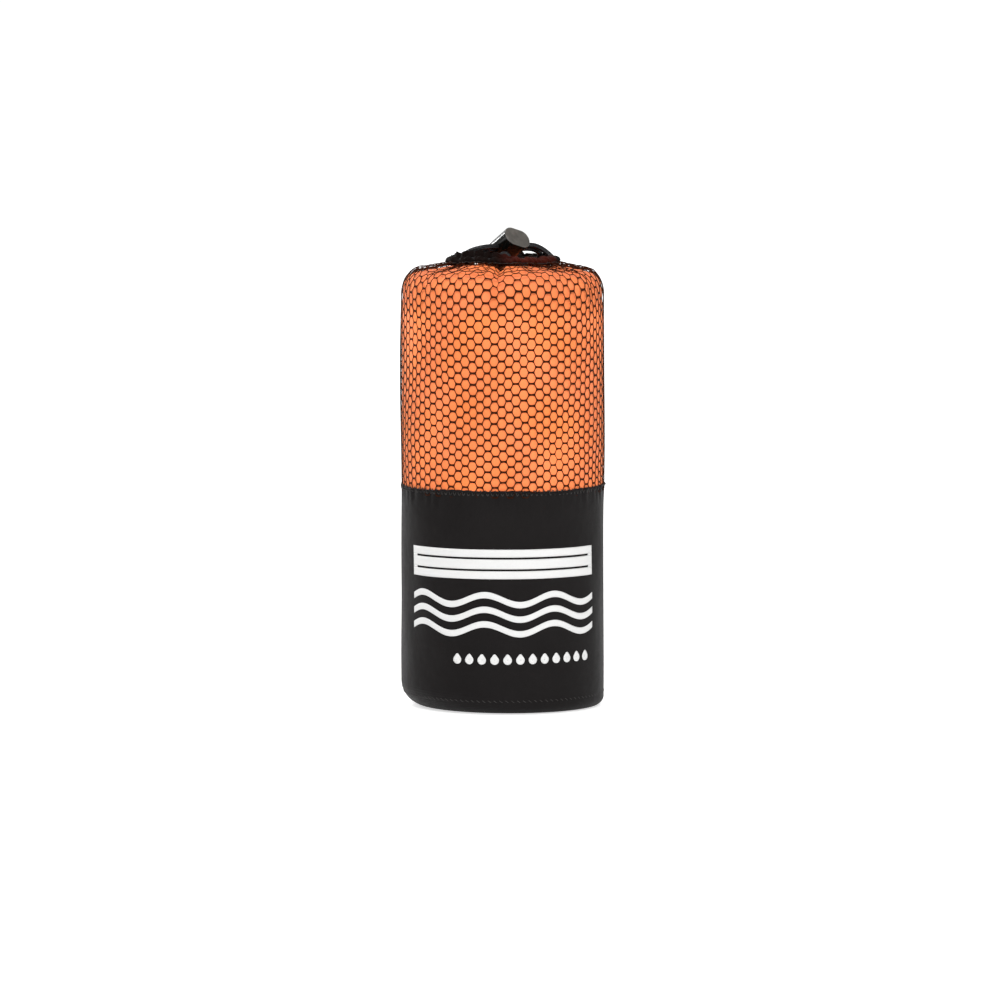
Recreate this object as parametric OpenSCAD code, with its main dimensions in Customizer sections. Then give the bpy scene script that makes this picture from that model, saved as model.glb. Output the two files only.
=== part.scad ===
// Quick dry towel in its travel pouch: a rolled microfibre towel inside a drawstring pouch with a nylon
// lower half, a mesh upper half and a gathered mouth that a spring cord lock holds shut.
// Millimetres. Origin: centre of the pouch's base. +Z up, the printed front faces -Y.

/* [Pouch] */
// Outer diameter of the filled pouch
pouch_d = 90; // [85:1:95]
// Thickness of the nylon cloth
nylon_t = 0.6; // [0.4:0.1:0.8]
// Thickness of the mesh cloth
mesh_t = 0.8; // [0.6:0.1:1.0]
// Height of the seam that joins the nylon to the mesh
waist_z = 97.7; // [80:0.1:118]
// Height at which the side of the mesh starts to round in
shoulder_z = 180; // [174:1:182]
// Width of the rounded shoulder, seen from above
shoulder_w = 9.5; // [8:0.5:11]
// Thickness of the base cloth
base_t = 0.8; // [0.6:0.1:1.2]
// Radius of the base's outer edge
base_edge_r = 6; // [4:0.5:8]

/* [Seams] */
// Width of the seam allowances inside the pouch
seam_w = 4; // [3:0.5:6]
// Thickness of a seam allowance
seam_t = 0.7; // [0.5:0.1:0.9]
// Direction of the side seam, counter-clockwise from the right-hand side
seam_turn = 28; // [24:1:32]

/* [Mouth] */
// Radius of the gathered channel's centre line
channel_r = 21.9; // [21.4:0.1:22.4]
// Height of the gathered channel's centre line
channel_z = 195.8; // [195.6:0.1:196]
// Half the thickness of the gathered channel
channel_tube_r = 3.6; // [3.3:0.1:3.7]
// Radial width of the slots that the cord comes out of
exit_slot_w = 4.4; // [4:0.1:4.8]

/* [Towel] */
// Diameter of the rolled towel
towel_d = 85; // [80:1:85]
// Height of the rolled towel
towel_h = 190.2; // [184:0.1:190.4]
// Radius of the rolled towel's soft top edge
towel_edge_r = 9; // [8:0.5:11]
// Width of the overlocked edge on the towel's free end
hem_w = 5; // [3:0.5:7]

/* [Cord] */
// Diameter of the drawcord
cord_d = 2.4; // [2:0.1:2.5]
// Radius of the end knot
knot_r = 4.4; // [4:0.1:4.8]

/* [Cord lock] */
// Thickness of the flat oval barrel
lock_w = 9; // [8.8:0.1:9.6]
// Distance between the centres of the oval's round ends
lock_span = 4.4; // [3.6:0.1:4.8]
// Length of the barrel
barrel_len = 14.8; // [14.6:0.1:15.6]
// Wall of the barrel
barrel_wall = 1.2; // [1:0.1:1.4]
// Depth of the strands' middle below the closed face
clamp_depth = 9; // [8.9:0.1:9.4]
// Running clearance around the plunger
plunger_gap = 0.06; // [0.04:0.01:0.1]
// Distance that the plunger can be pressed in
press_travel = 2.6; // [2:0.1:2.6]
// Thickness of the plunger's head
head_t = 2; // [1.5:0.1:2.4]
// Diameter of the spring's wire
wire_d = 0.5; // [0.4:0.05:0.6]

/* [Print] */
// Thickness of the printed film
film_t = 0.15; // [0.1:0.05:0.2]
// Lower edge of the printed band
band_z = 60; // [55:0.5:64]
// Height of the printed band
band_h = 12.9; // [8:0.1:16]
// Angle that the band and the waves reach to each side of the front
print_half_turn = 60; // [40:1:66]
// Middle height of the printed waves
waves_z = 44.4; // [40:0.1:48]
// Height of the row of printed drops
drops_z = 24.4; // [20:0.1:28]

/* [Hidden] */
$fn = 96;

// Clearances
face_gap = 0.3;                                 // soft faces that only touch
fit_gap = 0.1;                                  // trim on its cloth
slot_gap = 0.1;                                 // strands in their slots

// Pouch
pouch_r = pouch_d / 2;
nylon_in_r = pouch_r - nylon_t;
mesh_in_r = pouch_r - mesh_t;
crown_in_r = channel_r + channel_tube_r + fit_gap;  // where the mesh meets the channel
crown_in_z = channel_z - channel_tube_r / 3;
shoulder_top_z = crown_in_z - 0.8;

seam_turn_half = 2.5;                           // half the angle that the side seam takes up

// Thread on the channel
stitch_t = 0.5;
stitch_low = channel_tube_r * 2;                // the stitches lie on the channel's lower outer side
stitch_high = channel_tube_r / 2 + 0.3;
bartack_t = 0.6;
bartack_turn_half = 2;

// Towel
towel_r = towel_d / 2;
towel_z = base_t + face_gap;
hem_t = 0.6;

// Exits of the two strands, one on each side of the side seam, as angles around the channel
exit_a_turn = 9.5;
exit_b_turn = 43;
exit_reach = 12.5;                              // half the length of a slot
exit_flare = 0.8;                               // how much further out a slot opens

// Cord lock: placed at the middle of the clamped strands, its local z runs to the closed face and its
// local x along the strands
lock_at = [1.5, -3.5, 202.8];
lock_tilt = 57.5;
lock_turn = -47;
lock_skew = -20;                                // turn of the oval about its own axis
strand_pitch = 2.5;
lock_r = lock_w / 2;
bore_r = lock_r - barrel_wall;
plunger_r = bore_r - plunger_gap;
face_z = clamp_depth;
open_z = face_z - barrel_len;
slot_h = strand_pitch + cord_d + slot_gap;
slot_w = cord_d + 6 * slot_gap;
tip_t = 0.9;
tip_z = slot_h / 2 + tip_t;
spring_top = face_z - barrel_wall;
spring_turns = 3;
spring_r = plunger_r - wire_d / 2 - slot_gap;
head_top = open_z - press_travel - slot_gap / 2;
edge_r = 0.5;

// Route of each strand, from the channel through the lock to the knot
strand_a_points = [
    [22, -1.6, 195.8], [22.7, 1, 196.2], [22.4, 3.6, 197.4], [20.8, 5.7, 199.2], [18.3, 6.8, 201.2],
    [15.6, 6.7, 202.7], [13.2, 5.6, 203.4], [11, 3.9, 203.5], [8.1, 1.2, 203.5], [4.4, -2.2, 203.5],
    [0, -6.3, 203.5], [-3.6, -9.7, 203.5], [-6.6, -12.2, 203.5], [-10, -13.4, 203], [-13.3, -12.4, 202],
    [-15.8, -9.8, 200.5], [-16.6, -6.4, 198.5], [-16.1, -2.9, 196.6], [-15.2, 0.8, 194.8],
    [-13.7, 5, 193.5], [-11.2, 9.5, 192.9], [-7.4, 13.2, 192.8], [-2.6, 15.1, 192.8], [2.6, 15.2, 192.8],
    [7.6, 13.4, 192.8], [11.8, 10, 192.8], [14.5, 5.6, 192.8], [15.5, 0.6, 192.8], [14.8, -4.2, 192.9],
    [12.6, -8.6, 193.4], [9.4, -11.8, 194.6], [5.9, -13.6, 196.2], [3.2, -14.2, 197.5]
];
strand_b_points = [
    [13.4, 17.4, 195.8], [15.4, 15.4, 196.2], [16.6, 13, 197.6], [16.5, 10.8, 199.6], [14.8, 8.9, 201.2],
    [12.2, 7.4, 202], [9.6, 5.5, 202.1], [6.6, 2.7, 202.1], [3, -0.7, 202.1], [-1.4, -4.8, 202.1],
    [-5.1, -8.2, 202.1], [-8, -10.3, 201.7], [-10.8, -10.4, 200.8], [-13, -8.6, 199.4],
    [-14, -5.6, 197.5], [-13.6, -2.2, 195.6], [-12.7, 1.2, 194.1], [-11.1, 4.8, 193.1],
    [-8.8, 8.2, 192.8], [-5.5, 11, 192.8], [-1.6, 12.4, 192.8], [2.8, 12.4, 192.8], [6.9, 10.6, 192.8],
    [10.2, 7.7, 192.8], [12.2, 3.9, 192.8], [12.8, -0.3, 192.8], [12, -4.4, 192.9], [9.9, -7.8, 193.2],
    [7.2, -10.3, 193.9], [4.6, -11.7, 195], [2.8, -12.4, 196]
];
knot_at = [-0.5, -13.6, 198.2];
cord_sides = 8;
loop_start = atan2(strand_b_points[0][1], strand_b_points[0][0]);
loop_end = atan2(strand_a_points[0][1], strand_a_points[0][0]);

// --- helpers ---

function unit(v) = v / norm(v);

// Direction of a route at point i
function heading(points, i) =
    unit(points[min(i + 1, len(points) - 1)] - points[max(i - 1, 0)]);

// One ring of a tube around point i; the ring's first axis stays level
function ring(points, i, r, sides) =
    let (
        along = heading(points, i),
        level = norm(cross(along, [0, 0, 1])) > 0.05 ? unit(cross(along, [0, 0, 1])) : [1, 0, 0],
        across = cross(level, along)
    )
    [for (k = [0 : sides - 1]) points[i] + r * (cos(360 * k / sides) * level + sin(360 * k / sides) * across)];

// A tube swept along a route, closed flat at both ends
module tube(points, r, sides) {
    rings = len(points);
    shell = [for (i = [0 : rings - 1]) each ring(points, i, r, sides)];
    walls = [
        for (i = [0 : rings - 2], k = [0 : sides - 1])
            let (low = i * sides, next = (k + 1) % sides)
            [low + k, low + next, low + sides + next, low + sides + k]
    ];
    start_cap = [for (k = [sides - 1 : -1 : 0]) k];
    end_cap = [for (k = [0 : sides - 1]) (rings - 1) * sides + k];
    polyhedron(shell, concat(walls, [start_cap, end_cap]), convexity = 10);
}

// A round pipe standing on z = low
module pipe(outer_r, inner_r, low, high) {
    translate([0, 0, low])
        linear_extrude(high - low)
            difference() {
                circle(outer_r);
                circle(inner_r);
            }
}

// Half of the mesh crown's outline, from the sleeve round the shoulder and in to the channel, set
// outwards by grow
function crown_outline(grow) = [
    for (angle = [0 : 7.5 : 90])
        [pouch_r - shoulder_w * (1 - cos(angle)) + grow * cos(angle),
         shoulder_z + (shoulder_top_z - shoulder_z + grow) * sin(angle)],
    [crown_in_r, crown_in_z + grow]
];

// Flat oval: two round ends and what lies between them
module oval(r) {
    for (side = [-1, 1])
        translate([side * lock_span / 2, 0])
            circle(r);
    square([lock_span, 2 * r], center = true);
}

// Flat oval block whose upper edge is rounded
module rounded_oval(r, low, high) {
    module half_section()
        intersection() {
            union() {
                translate([0, low])
                    square([r, high - low - edge_r]);
                translate([0, low])
                    square([r - edge_r, high - low]);
                translate([r - edge_r, high - edge_r])
                    circle(edge_r, $fn = 24);
            }
            translate([0, low])
                square([r, high - low]);
        }
    for (side = [-1, 1])
        translate([side * lock_span / 2, 0, 0])
            rotate_extrude()
                half_section();
    translate([-lock_span / 2, 0, 0])
        rotate([90, 0, 90])
            linear_extrude(lock_span)
                union() {
                    half_section();
                    mirror([1, 0])
                        half_section();
                }
}

module at_lock() {
    translate(lock_at)
        rotate([0, lock_tilt, lock_turn])
            rotate(90)
                children();
}

// Slot along the strands, from z = low to z = high in the lock's own frame
module strand_slot(low, high) {
    length = 2 * (lock_w + lock_span);
    rotate([90, 0, 90])
        translate([0, 0, -length / 2])
            linear_extrude(length)
                union() {
                    for (end = [low + slot_w / 2, high - slot_w / 2])
                        translate([0, end])
                            circle(slot_w / 2, $fn = 32);
                    translate([-slot_w / 2, low + slot_w / 2])
                        square([slot_w, high - low - slot_w]);
                }
}

// Shell of printed film on the front of the nylon
module film() {
    intersection() {
        pipe(pouch_r + fit_gap / 2 + film_t, pouch_r + fit_gap / 2, 0, waist_z);
        children();
    }
}

// Block that the film keeps between two angles from the front and two heights
module wedge(low_turn, high_turn, low_z, high_z) {
    translate([0, 0, low_z])
        rotate(low_turn - 90)
            rotate_extrude(angle = high_turn - low_turn)
                square([pouch_r + 2, high_z - low_z]);
}

// --- pouch ---

module base_panel() {
    color("#262525")
        rotate_extrude()
            union() {
                square([pouch_r - base_edge_r, base_t]);
                intersection() {
                    translate([pouch_r - base_edge_r, base_edge_r])
                        difference() {
                            circle(base_edge_r);
                            circle(base_edge_r - base_t);
                        }
                    translate([pouch_r - base_edge_r, 0])
                        square([base_edge_r, base_edge_r]);
                }
            }
}

module base_seam() {
    color("#1b1b1b")
        pipe(pouch_r - base_t, pouch_r - base_t - seam_t, base_edge_r + fit_gap, base_edge_r + seam_w);
}

module nylon_sleeve() {
    color("#262525")
        pipe(pouch_r, nylon_in_r, base_edge_r, waist_z);
}

module waist_seam() {
    color("#1b1b1b")
        pipe(mesh_in_r, mesh_in_r - seam_t, waist_z - seam_w, waist_z + seam_w / 4);
}

module mesh_sleeve() {
    color("#d8713c")
        rotate_extrude()
            polygon(concat(
                [[mesh_in_r, waist_z], [pouch_r, waist_z]],
                crown_outline(0),
                [for (i = [len(crown_outline(0)) - 1 : -1 : 0]) crown_outline(-mesh_t)[i]]
            ));
}

module side_seam() {
    lengths = [
        [base_edge_r + seam_w + fit_gap, waist_z - seam_w - fit_gap],
        [waist_z + seam_w / 4 + fit_gap, shoulder_z]
    ];
    color("#1b1b1b")
        for (length = lengths)
            rotate(seam_turn - seam_turn_half)
                translate([0, 0, length[0]])
                    rotate_extrude(angle = 2 * seam_turn_half)
                        translate([mesh_in_r - seam_t, 0])
                            square([seam_t - fit_gap / 2, length[1] - length[0]]);
}

module drawcord_channel() {
    color("#241a14")
        difference() {
            translate([0, 0, channel_z])
                rotate_extrude()
                    translate([channel_r, 0])
                        difference() {
                            circle(channel_tube_r);
                            circle(cord_d / 2 + slot_gap, $fn = 32);
                        }
            for (turn = [exit_a_turn, exit_b_turn])
                rotate(turn - exit_reach)
                    translate([0, 0, channel_z - cord_d / 2 - slot_gap])
                        rotate_extrude(angle = 2 * exit_reach)
                            translate([channel_r - exit_slot_w / 2, 0])
                                square([exit_slot_w + exit_flare, channel_tube_r * 2]);
        }
}

module channel_stitching() {
    color("#3a2a20")
        translate([0, 0, channel_z])
            rotate_extrude()
                translate([channel_r, 0])
                    intersection() {
                        difference() {
                            circle(channel_tube_r + stitch_t);
                            circle(channel_tube_r + fit_gap / 2);
                        }
                        translate([channel_tube_r / 3, -stitch_low])
                            square([channel_tube_r * 2, stitch_low - stitch_high]);
                    }
}

module channel_bartack() {
    color("#14110f")
        rotate(seam_turn - bartack_turn_half)
            translate([0, 0, channel_z])
                rotate_extrude(angle = 2 * bartack_turn_half)
                    translate([channel_r, 0])
                        intersection() {
                            difference() {
                                circle(channel_tube_r + bartack_t);
                                circle(channel_tube_r + fit_gap / 2);
                            }
                            translate([-channel_tube_r, channel_tube_r / 2])
                                square([channel_tube_r * 2, channel_tube_r]);
                        }
}

// --- print ---

module print_band() {
    line_h = 0.9;
    line_margin = 4;                            // angle from a line's end to the band's end
    lines = [0.3, 0.7];                         // heights of the two open lines, as shares of the band
    color("#ebebeb")
        film()
            difference() {
                wedge(-print_half_turn, print_half_turn, band_z, band_z + band_h);
                for (share = lines)
                    wedge(-print_half_turn + line_margin, print_half_turn - line_margin,
                        band_z + band_h * share - line_h / 2, band_z + band_h * share + line_h / 2);
            }
}

module print_waves() {
    rows = [-6.4, 0, 6.4];
    bends = 6;
    bend_turn = 2 * print_half_turn / bends;
    bend_r = 10.8;
    bend_drop = 8.6;                            // from a row's middle height to a bend's centre
    stroke = 2.8;
    cut = [14.8, 12];                           // what is kept of each ring
    color("#e9e9e9")
        film()
            for (row = rows, bend = [0 : bends - 1])
                rotate(-print_half_turn + bend_turn * (bend + 0.5))
                    translate([0, 0, waves_z + row])
                        rotate([90, 0, 0])
                            linear_extrude(pouch_d)
                                intersection() {
                                    translate([0, bend % 2 == 0 ? -bend_drop : bend_drop])
                                        difference() {
                                            circle(bend_r + stroke / 2);
                                            circle(bend_r - stroke / 2);
                                        }
                                    square(cut, center = true);
                                }
}

module print_drops() {
    drop_r = 1.9;
    drop_step = 7.2;
    first_turn = -26;
    color("#e4e4e4")
        film()
            for (turn = [first_turn : drop_step : print_half_turn])
                rotate(turn)
                    translate([0, 0, drops_z])
                        rotate([90, 0, 0])
                            linear_extrude(pouch_d)
                                union() {
                                    circle(drop_r);
                                    rotate(45)
                                        square(drop_r);
                                }
}

// --- towel ---

module towel_roll() {
    color("#e8763c")
        difference() {
            translate([0, 0, towel_z])
                rotate_extrude()
                    union() {
                        square([towel_r - towel_edge_r, towel_h]);
                        square([towel_r, towel_h - towel_edge_r]);
                        translate([towel_r - towel_edge_r, towel_h - towel_edge_r])
                            circle(towel_edge_r);
                    }
            difference() {
                cylinder(base_edge_r, r = pouch_r);
                translate([0, 0, -1])
                    cylinder(base_edge_r + 2, r = pouch_r - base_edge_r - face_gap);
            }
        }
}

module towel_hem() {
    color("#b85a24")
        rotate(90)
            translate([0, 0, base_edge_r + seam_w + 1])
                rotate_extrude(angle = hem_w / towel_r * 180 / PI)
                    translate([towel_r + fit_gap / 2, 0])
                        square([hem_t, towel_h - towel_edge_r - base_edge_r - seam_w - 2]);
}

// --- drawcord ---

module drawcord_loop() {
    color("#17171a")
        translate([0, 0, channel_z])
            rotate(loop_start)
                rotate_extrude(angle = 360 + loop_end - loop_start)
                    translate([channel_r, 0])
                        circle(cord_d / 2, $fn = 32);
}

module cord_strand_a() {
    color("#17171a")
        tube(strand_a_points, cord_d / 2, cord_sides);
}

module cord_strand_b() {
    color("#17171a")
        tube(strand_b_points, cord_d / 2, cord_sides);
}

module cord_knot() {
    color("#1d1c1c")
        translate(knot_at)
            sphere(knot_r, $fn = 48);
}

// --- cord lock ---

module lock_barrel() {
    color("#6e6863")
        at_lock()
            difference() {
                rotate(lock_skew)
                    rounded_oval(lock_r, open_z, face_z);
                rotate(lock_skew)
                    translate([0, 0, open_z - 1])
                        linear_extrude(spring_top - open_z + 1)
                            oval(bore_r);
                strand_slot(-slot_h / 2, slot_h / 2);
            }
}

module lock_plunger() {
    color("#1a1712")
        at_lock()
            difference() {
                rotate(lock_skew)
                    union() {
                        translate([0, 0, head_top])
                            linear_extrude(tip_z - head_top)
                                oval(plunger_r);
                        translate([0, 0, head_top - head_t])
                            linear_extrude(head_t)
                                oval(lock_r);
                    }
                strand_slot(-slot_h / 2 - press_travel - slot_gap, slot_h / 2);
            }
}

module lock_spring() {
    steps = 12;
    rise = spring_top - tip_z - wire_d - 2 * slot_gap;
    coil = [
        for (i = [0 : spring_turns * steps])
            [spring_r * cos(360 * i / steps), spring_r * sin(360 * i / steps),
             tip_z + wire_d / 2 + slot_gap + rise * i / (spring_turns * steps)]
    ];
    color("#b9bcc0")
        at_lock()
            tube(coil, wire_d / 2, cord_sides);
}

base_panel();
base_seam();
nylon_sleeve();
waist_seam();
mesh_sleeve();
side_seam();
drawcord_channel();
channel_stitching();
channel_bartack();
print_band();
print_waves();
print_drops();
towel_roll();
towel_hem();
drawcord_loop();
cord_strand_a();
cord_strand_b();
cord_knot();
lock_barrel();
lock_plunger();
lock_spring();
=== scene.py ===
"""Quick dry towel rolled in its drawstring pouch: the looks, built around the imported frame.

Everything is in metres in the frame's own axes: +Z up, the printed front faces -Y. Lengths below are
written in millimetres and turned into metres where a mesh is made.
"""
import bpy
import numpy as np
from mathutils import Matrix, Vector


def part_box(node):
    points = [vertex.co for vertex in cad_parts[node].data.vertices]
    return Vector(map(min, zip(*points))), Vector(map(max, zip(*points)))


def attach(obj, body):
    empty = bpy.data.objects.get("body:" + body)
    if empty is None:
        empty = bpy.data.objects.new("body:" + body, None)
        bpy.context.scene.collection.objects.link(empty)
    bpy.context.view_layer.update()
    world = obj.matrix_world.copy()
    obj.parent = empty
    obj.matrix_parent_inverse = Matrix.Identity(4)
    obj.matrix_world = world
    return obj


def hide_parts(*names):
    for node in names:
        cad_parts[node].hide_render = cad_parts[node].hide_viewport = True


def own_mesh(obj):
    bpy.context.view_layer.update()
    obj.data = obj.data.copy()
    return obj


MM = 0.001
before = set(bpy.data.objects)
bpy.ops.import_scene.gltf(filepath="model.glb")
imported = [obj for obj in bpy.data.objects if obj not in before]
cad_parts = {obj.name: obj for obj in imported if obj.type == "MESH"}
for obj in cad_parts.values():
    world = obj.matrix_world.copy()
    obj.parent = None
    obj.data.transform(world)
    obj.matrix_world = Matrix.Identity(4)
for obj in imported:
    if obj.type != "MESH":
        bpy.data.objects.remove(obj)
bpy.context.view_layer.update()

# --- sizes taken from the frame, in millimetres ---


def node_box(node):
    """Lowest and highest corner of a CAD node, in millimetres."""
    low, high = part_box(node)
    return np.array(low) / MM, np.array(high) / MM


NYLON_HIGH = node_box("nylon_sleeve")[1]
TOWEL_LOW, TOWEL_HIGH = node_box("towel_roll")
CHANNEL_LOW, CHANNEL_HIGH = node_box("drawcord_channel")
BAND_LOW, BAND_HIGH = node_box("print_band")
WAVES_LOW, WAVES_HIGH = node_box("print_waves")
DROPS_LOW, DROPS_HIGH = node_box("print_drops")
BODY_R = NYLON_HIGH[0]
WAIST_Z = NYLON_HIGH[2]
TOWEL_R = TOWEL_HIGH[0]
TOWEL_TOP = TOWEL_HIGH[2]
CHANNEL_Z = (CHANNEL_LOW[2] + CHANNEL_HIGH[2]) / 2
CHANNEL_TUBE = (CHANNEL_HIGH[2] - CHANNEL_LOW[2]) / 2
CHANNEL_R = CHANNEL_HIGH[0] - CHANNEL_TUBE
CORD_D = 2.4

# --- the two strands' routes, as in part.scad ---

STRAND_A = [
    (22, -1.6, 195.8), (22.7, 1, 196.2), (22.4, 3.6, 197.4), (20.8, 5.7, 199.2), (18.3, 6.8, 201.2),
    (15.6, 6.7, 202.7), (13.2, 5.6, 203.4), (11, 3.9, 203.5), (8.1, 1.2, 203.5), (4.4, -2.2, 203.5),
    (0, -6.3, 203.5), (-3.6, -9.7, 203.5), (-6.6, -12.2, 203.5), (-10, -13.4, 203), (-13.3, -12.4, 202),
    (-15.8, -9.8, 200.5), (-16.6, -6.4, 198.5), (-16.1, -2.9, 196.6), (-15.2, 0.8, 194.8),
    (-13.7, 5, 193.5), (-11.2, 9.5, 192.9), (-7.4, 13.2, 192.8), (-2.6, 15.1, 192.8), (2.6, 15.2, 192.8),
    (7.6, 13.4, 192.8), (11.8, 10, 192.8), (14.5, 5.6, 192.8), (15.5, 0.6, 192.8), (14.8, -4.2, 192.9),
    (12.6, -8.6, 193.4), (9.4, -11.8, 194.6), (5.9, -13.6, 196.2), (3.2, -14.2, 197.5),
]
STRAND_B = [
    (13.4, 17.4, 195.8), (15.4, 15.4, 196.2), (16.6, 13, 197.6), (16.5, 10.8, 199.6), (14.8, 8.9, 201.2),
    (12.2, 7.4, 202), (9.6, 5.5, 202.1), (6.6, 2.7, 202.1), (3, -0.7, 202.1), (-1.4, -4.8, 202.1),
    (-5.1, -8.2, 202.1), (-8, -10.3, 201.7), (-10.8, -10.4, 200.8), (-13, -8.6, 199.4),
    (-14, -5.6, 197.5), (-13.6, -2.2, 195.6), (-12.7, 1.2, 194.1), (-11.1, 4.8, 193.1),
    (-8.8, 8.2, 192.8), (-5.5, 11, 192.8), (-1.6, 12.4, 192.8), (2.8, 12.4, 192.8), (6.9, 10.6, 192.8),
    (10.2, 7.7, 192.8), (12.2, 3.9, 192.8), (12.8, -0.3, 192.8), (12, -4.4, 192.9), (9.9, -7.8, 193.2),
    (7.2, -10.3, 193.9), (4.6, -11.7, 195), (2.8, -12.4, 196),
]

# --- camera ---


def place_round(holder, azimuth, elevation, distance, target):
    """Put a camera or a light on a circle round the target, facing it; azimuth 0 is the front."""
    az, el = np.radians(azimuth), np.radians(elevation)
    away = Vector((-np.sin(az) * np.cos(el), -np.cos(az) * np.cos(el), np.sin(el)))
    holder.location = Vector(target) + away * distance
    holder.rotation_euler = (-away).to_track_quat("-Z", "Y").to_euler()
    bpy.context.scene.collection.objects.link(holder)


def add_camera(azimuth, elevation, distance, frame_width, target):
    """Camera on a circle around the target; the lens gives frame_width metres at the target."""
    camera = bpy.data.cameras.new("camera")
    camera.sensor_width = 36
    camera.lens = camera.sensor_width * distance / frame_width
    camera.clip_end = 20
    holder = bpy.data.objects.new("camera", camera)
    place_round(holder, azimuth, elevation, distance, target)
    bpy.context.scene.camera = holder


add_camera(azimuth=0, elevation=5, distance=2.5, frame_width=0.446, target=(0.0002, 0, 0.0899))

# --- mesh helpers ---


def smoothstep(low, high, x):
    """0 below low, 1 above high, and 3 t^2 - 2 t^3 between them."""
    t = np.clip((x - low) / (high - low), 0, 1)
    return t * t * (3 - 2 * t)


def make_piece(name, points, faces, replaces=(), body="pouch", uv=None):
    """A mesh piece from points in millimetres and a face array, riding on a body.

    replaces lists the CAD nodes that it stands for, uv gives one pair for each point.
    """
    mesh = bpy.data.meshes.new(name)
    points = np.asarray(points, float).reshape(-1, 3) * MM
    faces = np.asarray(faces, int)
    mesh.vertices.add(len(points))
    mesh.vertices.foreach_set("co", points.ravel())
    mesh.loops.add(faces.size)
    mesh.loops.foreach_set("vertex_index", faces.ravel())
    mesh.polygons.add(len(faces))
    mesh.polygons.foreach_set("loop_start", np.arange(len(faces)) * faces.shape[1])
    mesh.polygons.foreach_set("use_smooth", np.ones(len(faces), bool))
    if uv is not None:
        layer = mesh.uv_layers.new(name="cloth")
        layer.data.foreach_set("uv", np.asarray(uv, float)[faces.ravel()].ravel())
    mesh.update(calc_edges=True)
    mesh.validate()
    piece = bpy.data.objects.new(name, mesh)
    bpy.context.scene.collection.objects.link(piece)
    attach(piece, body)
    if replaces:
        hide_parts(*replaces)
    return piece


def grid_faces(rows, columns, wrap_rows=False, wrap_columns=False, flip=False):
    """Quads of a rows x columns grid of points, closed along an axis where asked."""
    i = np.arange(rows if wrap_rows else rows - 1)[:, None]
    j = np.arange(columns if wrap_columns else columns - 1)[None, :]
    a = i * columns + j
    b = i * columns + (j + 1) % columns
    c = ((i + 1) % rows) * columns + (j + 1) % columns
    d = ((i + 1) % rows) * columns + j
    quads = np.stack([a, b, c, d], axis=-1).reshape(-1, 4)
    return quads[:, ::-1] if flip else quads


def skin_faces(rows, columns, wrap_columns=False):
    """Quads of a closed skin of small thickness: an outer and an inner grid of points, joined at their open
    edges.
    """
    count = rows * columns
    outer = grid_faces(rows, columns, wrap_columns=wrap_columns)
    inner = grid_faces(rows, columns, wrap_columns=wrap_columns, flip=True) + count
    j = np.arange(columns if wrap_columns else columns - 1)
    k = (j + 1) % columns
    last = (rows - 1) * columns
    low_edge = np.stack([k, j, j + count, k + count], axis=-1)
    high_edge = np.stack([j + last, k + last, k + last + count, j + last + count], axis=-1)
    parts = [outer, inner, low_edge, high_edge]
    if not wrap_columns:
        i = np.arange(rows - 1) * columns
        n = i + columns
        far = columns - 1
        parts.append(np.stack([i, n, n + count, i + count], axis=-1))
        parts.append(np.stack([n + far, i + far, i + far + count, n + far + count], axis=-1))
    return np.concatenate(parts)


def normals_of(surface, turn, height, step=0.02):
    """Outward unit normals of surface(turn, height) by central differences."""
    across = surface(turn + step, height) - surface(turn - step, height)
    up = surface(turn, height + 10 * step) - surface(turn, height - 10 * step)
    normal = np.cross(across, up)
    return normal / np.linalg.norm(normal, axis=-1, keepdims=True)


def ring_normals(grid):
    """Unit normals of a grid that closes round the pouch along its columns."""
    across = np.roll(grid, -1, axis=1) - np.roll(grid, 1, axis=1)
    normal = np.cross(across, np.gradient(grid, axis=0))
    return normal / np.linalg.norm(normal, axis=-1, keepdims=True)


def outward_of(points):
    """Level unit vectors from the pouch's axis towards the points."""
    flat = points * np.array([1, 1, 0])
    return flat / np.linalg.norm(flat, axis=-1, keepdims=True)


def smooth_path(points, step):
    """Natural cubic spline through the points, sampled about every step millimetres."""
    p = np.array(points, float)
    knots = np.r_[0, np.cumsum(np.sqrt(np.linalg.norm(np.diff(p, axis=0), axis=1)))]
    n, h = len(p), np.diff(knots)
    system, right = np.eye(n), np.zeros((n, 3))
    slope = np.diff(p, axis=0) / h[:, None]
    inner = np.arange(1, n - 1)
    system[inner, inner - 1] = h[:-1]
    system[inner, inner] = 2 * (h[:-1] + h[1:])
    system[inner, inner + 1] = h[1:]
    right[1:-1] = 6 * np.diff(slope, axis=0)
    curve = np.linalg.solve(system, right)
    at = np.linspace(0, knots[-1], 40 * n)
    i = np.clip(np.searchsorted(knots, at, side="right") - 1, 0, n - 2)
    t, u = (at - knots[i])[:, None], (knots[i + 1] - at)[:, None]
    w = h[i][:, None]
    line = (curve[i] * u ** 3 + curve[i + 1] * t ** 3) / (6 * w)
    line += (p[i] / w - curve[i] * w / 6) * u + (p[i + 1] / w - curve[i + 1] * w / 6) * t
    along = np.r_[0, np.cumsum(np.linalg.norm(np.diff(line, axis=0), axis=1))]
    even = np.linspace(0, along[-1], max(int(along[-1] / step), 8))
    return np.stack([np.interp(even, along, line[:, k]) for k in range(3)], axis=1)


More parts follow.
